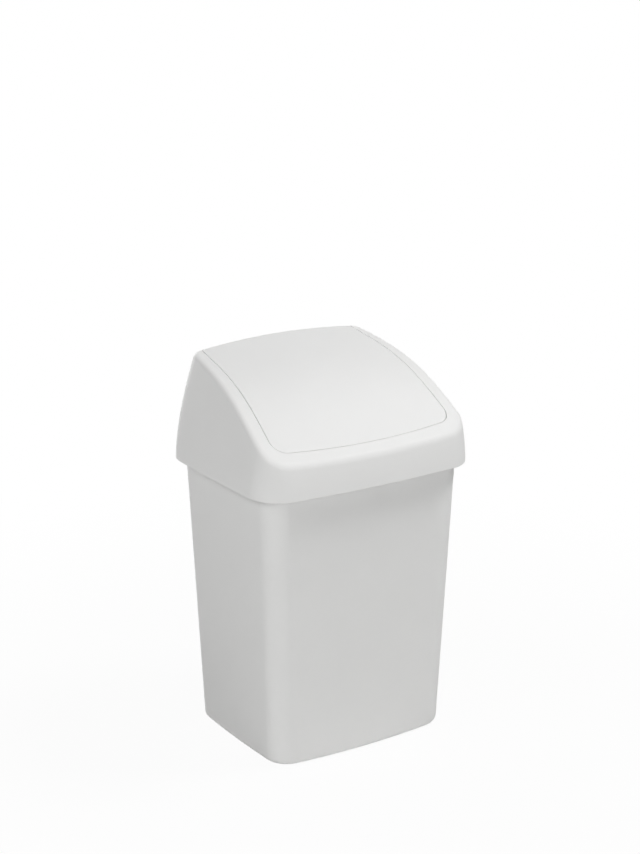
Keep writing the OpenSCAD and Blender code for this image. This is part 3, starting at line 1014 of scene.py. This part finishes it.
    def ribs(self, finish: bpy.types.Material) -> bpy.types.Object:
        """Makes the ten ribs inside the wall that rest on the tub's rim.

        Args:
            finish: the hood's material.

        Returns:
            One object that holds all the ribs.
        """
        top, sizes = self.top, self.top.sizes
        feet, creases = raised(top.skirt_plan(0), sizes.skirt_z), top.drape(top.crease_plan(0))
        power = self.lean_power(feet, creases)
        places, turns, leans = [], [], []
        for side in range(4):
            for eighth in ((2, 4, 6) if side % 2 == 0 else (2, 6)):
                j = side * QUARTER + CORNER_STEPS + eighth * SIDE_STEPS // 8
                along = unit(feet[j + 1, :2] - feet[j - 1, :2])
                inward = np.array([-along[1], along[0]])
                run = (creases[j] - feet[j])[:2] @ inward
                levels = (np.array([sizes.body_h, sizes.body_h + self.rib_h]) - sizes.skirt_z)
                low, high = run * (levels / (creases[j, 2] - sizes.skirt_z)) ** power[j]
                places.append([*(feet[j, :2] + inward * low), sizes.body_h])
                turns.append(math.atan2(inward[1], inward[0]))
                leans.append((high - low) * MM)
        made = add_object("seat_ribs", np.array(places) * MM, [])
        for name, values in (("turn", turns), ("lean", leans), ("foot_z", [sizes.body_h * MM] * len(turns))):
            made.data.attributes.new(name, "FLOAT", "POINT").data.foreach_set("value", values)
        values = {"Reach": (sizes.skirt_out + sizes.tub_wall / 2) * MM, "Height": self.rib_h * MM,
                  "Thickness": self.rib_t * MM, "Grip": self.flange_grip * MM, "Wall": self.wall * MM,
                  "Edge Radius": 0.8 * MM, "Finish": finish}
        run_tree(made, self.ribs_tree(), values)
        return made

    def stop(self, eighth: int) -> bpy.types.Object:
        """Makes one bracket on the back wall that the closed flap comes to rest on.

        Args:
            eighth: its place along the opening's back edge, in eighths.

        Returns:
            The bracket.
        """
        top, sizes = self.top, self.top.sizes
        x, y, z = top.drape(top.flap_plan(0))[CORNER_STEPS + eighth * SIDE_STEPS // 8]
        crown = float(top.crown(np.array([x, y])))

        def wall_y(level: float) -> float:
            """Finds the middle of the back wall.

            Args:
                level: the height.

            Returns:
                Its Y at that height.
            """
            flat = top.back_point((level - crown - sizes.skirt_z) / top.ridge_h)[0]
            bowed = flat + top.back_bow(np.array([x, flat]))
            return float(flat + top.back_bow(np.array([x, bowed])) - self.wall / 2)

        high = z - top.flap_edge_h - self.stop_gap
        low = high - self.stop_h
        lip = y - top.flap_wall - 1
        side = np.array([[lip, high], [wall_y(high), high], [wall_y(low), low], [wall_y(low) - 1, low],
                         [lip, high - 2]])
        return prism("stop", side, [(x - self.stop_t / 2, x + self.stop_t / 2)], 0.3)

    def build(self) -> bpy.types.Object:
        """Builds the hood, with its ribs, lugs and stops fused in and its pivot holes bored.

        Returns:
            The hood.
        """
        finish = self.finish.material()
        piece = self.shell()
        piece.data.materials.append(finish)
        join(piece, self.ribs(finish), Join.FUSE)
        x = self.top.opening_half(self.pivot.y) + self.pivot.side_play
        spans = [(x, x + self.pivot.lug_t), (-x - self.pivot.lug_t, -x)]
        join(piece, prism("lugs", self.pivot.ear(self.top, self.wall), spans, self.pivot.lug_soften), Join.FUSE)
        for eighth in (2, 6):
            join(piece, self.stop(eighth), Join.FUSE)
        bore = self.pivot.pin_r + self.pivot.clearance
        holes = [(x - 2, bore), (x + self.pivot.lug_t + 2, bore)]
        join(piece, pins("holes", holes, self.pivot.axis(self.top)), Join.BORE)
        shade(piece)
        return piece


# ---------------- the flap


@dataclass(frozen=True)
class Flap:
    """The curved flap that lies flush in the hood's opening, with a turned-down edge and moulded pivot pins."""

    top: TopForm
    pivot: PivotSizes
    finish: MouldedPolypropylene
    edge_round: float = 0.4

    def shell(self) -> bpy.types.Object:
        """Lofts the flap's curved panel and its turned-down edge.

        Returns:
            The panel.
        """
        top = self.top
        plan, inner = top.flap_plan(0), top.flap_plan(top.flap_wall)
        start = top.flap_plan(1.5 * self.edge_round)
        middle = np.array([0, (plan[:, 1].max() + plan[:, 1].min()) / 2])
        edge = top.drape(plan)
        # The rings lie close together near the edge, where the flap rolls over the ridge
        shares = np.concatenate([1 - np.linspace(0, 0.12, 19), np.linspace(0.88, 0.02, 34)[1:]])
        scaled = [lambda ring, s=s: middle + (ring - middle) * s for s in shares]
        foot_z = edge[:, 2] - top.flap_edge_h
        stations = [
            *[Station(top.drape(scale(inner), top.flap_wall)) for scale in scaled[::-1]],
            Station(raised(inner, foot_z), 0.4),
            Station(raised(plan, foot_z), 0.5),
            Station(edge, self.edge_round),
            *[Station(top.drape(scale(start))) for scale in scaled],
        ]
        return loft("flap", soften_edges(stations), False)

    def build(self) -> bpy.types.Object:
        """Builds the flap, with its ears and pins fused in.

        Returns:
            The flap.
        """
        piece = self.shell()
        piece.data.materials.append(self.finish.material())
        top, pivot = self.top, self.pivot
        x = top.opening_half(pivot.y) - top.flap_gap
        low, high = x - pivot.side_play - pivot.lug_t, x - pivot.side_play
        ears = prism("ears", pivot.ear(top, top.flap_wall), [(low, high), (-high, -low)], pivot.ear_soften)
        join(piece, ears, Join.FUSE)
        end = x + top.flap_gap + pivot.side_play + pivot.lug_t
        turned = [(x - pivot.lug_t, pivot.pin_r), (end - 0.4, pivot.pin_r), (end - 0.1, pivot.pin_r - 0.15),
                  (end, pivot.pin_r - 0.4)]
        join(piece, pins("pivot_pins", turned, pivot.axis(top)), Join.FUSE)
        shade(piece)
        return piece


# ---------------- studio


@dataclass(frozen=True)
class SoftBox:
    """One square area lamp that faces the bin, placed in degrees and metres, with its power in watts."""

    name: str
    azimuth: float
    elevation: float
    distance: float
    size: float
    power: float


@dataclass(frozen=True)
class Studio:
    """A plain white room: pale floor, soft lamps, and a camera at the photograph's angle, in degrees and metres.

    The floor's glow, which only makes it show white, grows from its level near the bin to its level far off, between
    the two distances of its reach.
    """

    lamps: tuple[SoftBox, ...] = (
        SoftBox("key_box_high_right", 60.0, 60.0, 2.2, 0.6, 23.4),
        SoftBox("side_box_left", -90.0, 35.0, 2.4, 1.0, 13.9),
        SoftBox("front_box_low", -15.0, 12.0, 2.4, 1.0, 7.6),
        SoftBox("camera_fill_box", -33.0, 17.0, 2.2, 1.4, 11.3),
        SoftBox("side_box_right", 75.0, 48.0, 2.2, 0.8, 5.3),
        SoftBox("back_fill_box", 180.0, 10.0, 2.4, 1.4, 23.0),
    )
    floor_colour: str = "#E0E0DF"
    floor_glow: tuple[float, float] = (0.95, 1.0)
    glow_reach: tuple[float, float] = (0.15, 0.75)
    target: tuple[float, float, float] = (0.0, 0.0, 0.296555)
    azimuth: float = -33.034
    elevation: float = 17.501
    distance: float = 1.92699
    lens: float = 86.96
    shift: tuple[float, float] = (-0.0003, 0.0006)
    aim: tuple[float, float, float] = (0.0, 0.0, 0.19)

    @staticmethod
    def back_from(azimuth: float, elevation: float) -> Vector:
        """Returns the direction from the bin to a lamp or camera, from its azimuth and elevation in degrees."""
        a, e = math.radians(azimuth), math.radians(elevation)
        return Vector((math.sin(a) * math.cos(e), -math.cos(a) * math.cos(e), math.sin(e)))

    def camera(self) -> None:
        """Adds the camera where the photograph's was."""
        data = bpy.data.cameras.new("camera")
        data.lens = self.lens
        data.sensor_width = 36.0
        data.shift_x, data.shift_y = self.shift
        data.clip_start, data.clip_end = 0.05, 60.0
        made = bpy.data.objects.new("camera", data)
        back = self.back_from(self.azimuth, self.elevation)
        made.location = Vector(self.target) + back * self.distance
        made.rotation_euler = (-back).to_track_quat("-Z", "Y").to_euler()
        bpy.context.scene.collection.objects.link(made)
        bpy.context.scene.camera = made

    def light(self) -> None:
        """Adds the soft lamps."""
        for box in self.lamps:
            data = bpy.data.lights.new(box.name, "AREA")
            data.shape = "SQUARE"
            data.size = box.size
            data.energy = box.power
            made = bpy.data.objects.new(box.name, data)
            back = self.back_from(box.azimuth, box.elevation)
            made.location = Vector(self.aim) + back * box.distance
            made.rotation_euler = (-back).to_track_quat("-Z", "Y").to_euler()
            bpy.context.scene.collection.objects.link(made)

    @staticmethod
    def seen_white(tree: bpy.types.NodeTree) -> bpy.types.Node:
        """Adds the nodes that are 1 for a ray from the camera, off gloss or through glass.

        Args:
            tree: the tree that gets them.

        Returns:
            The last of them.
        """
        add = partial(add_node, tree)
        path = add("ShaderNodeLightPath").outputs
        seen = add("ShaderNodeMath", {0: path["Is Camera Ray"], 1: path["Is Glossy Ray"]}, operation="MAXIMUM")
        return add("ShaderNodeMath", {0: seen, 1: path["Is Transmission Ray"]}, operation="MAXIMUM")

    def room(self) -> None:
        """Sets the white surroundings, which show but add no light of their own to the bin."""
        world = bpy.data.worlds.new("white_room")
        world.use_nodes = True
        tree = world.node_tree
        tree.nodes.clear()
        add = partial(add_node, tree)
        backdrop = add("ShaderNodeBackground", {"Color": (1.0, 1.0, 1.0, 1.0), "Strength": self.seen_white(tree)})
        add("ShaderNodeOutputWorld", {"Surface": backdrop})
        bpy.context.scene.world = world

    def floor(self) -> None:
        """Adds the pale floor, which shows white but keeps the bin's soft shadow close to it."""
        reach = 14.0
        corners = np.array([[-1, -1, 0], [1, -1, 0], [1, 1, 0], [-1, 1, 0]]) * reach
        made = add_object("floor", corners, [[0, 1, 2, 3]])
        material = bpy.data.materials.new("matt_painted_floor")
        material.use_nodes = True
        tree = material.node_tree
        tree.nodes.clear()
        add = partial(add_node, tree)
        # Matt white paint, rolled on: it has no gloss, so no lamp shows in it
        paint = add("ShaderNodeBsdfDiffuse", {"Color": srgb(self.floor_colour)})
        glow = add("ShaderNodeEmission", {"Color": (1.0, 1.0, 1.0, 1.0), "Strength": 1.0})
        place = add("ShaderNodeTexCoord").outputs["Object"]
        distance = add("ShaderNodeVectorMath", {0: place}, operation="LENGTH").outputs["Value"]
        glow_share = add("ShaderNodeMapRange",
                         {"Value": distance, "From Min": self.glow_reach[0], "From Max": self.glow_reach[1],
                          "To Min": self.floor_glow[0], "To Max": self.floor_glow[1]},
                         interpolation_type="SMOOTHSTEP")
        share = add("ShaderNodeMath", {0: self.seen_white(tree), 1: glow_share}, operation="MULTIPLY")
        mixed = add("ShaderNodeMixShader", {0: share, 1: paint, 2: glow})
        add("ShaderNodeOutputMaterial", {"Surface": mixed})
        made.data.materials.append(material)

    def build(self) -> None:
        """Sets up the whole studio."""
        self.room()
        self.floor()
        self.light()
        self.camera()
        bpy.context.scene.view_settings.view_transform = "Standard"


def main() -> None:
    """Builds the three mouldings and the studio, and ties each moulding to its CAD body."""
    logging.basicConfig(level=logging.INFO, format="%(name)s: %(message)s")
    sizes, pivot = BinSizes(), PivotSizes()
    top = TopForm(sizes)
    tub, hood, flap = (MouldedPolypropylene("injection_moulded_polypropylene_" + name)
                       for name in ("tub", "hood", "flap"))
    plan = (
        (Tub(sizes, tub), "bin", "bin_body", "tub_plastic"),
        (Hood(top, pivot, hood), "hood", "lid_hood", "hood_plastic"),
        (Flap(top, pivot, flap), "flap", "swing_flap", "flap_plastic"),
    )
    for moulding, body, node, slot in plan:
        piece = moulding.build()
        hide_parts(node)
        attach(piece, body)
        mesh = piece.data
        LOG.info("%s: %d points, %d faces, on %s", piece.name, len(mesh.vertices), len(mesh.polygons), body)
    Studio().build()


if __name__ == "__main__":
    main()
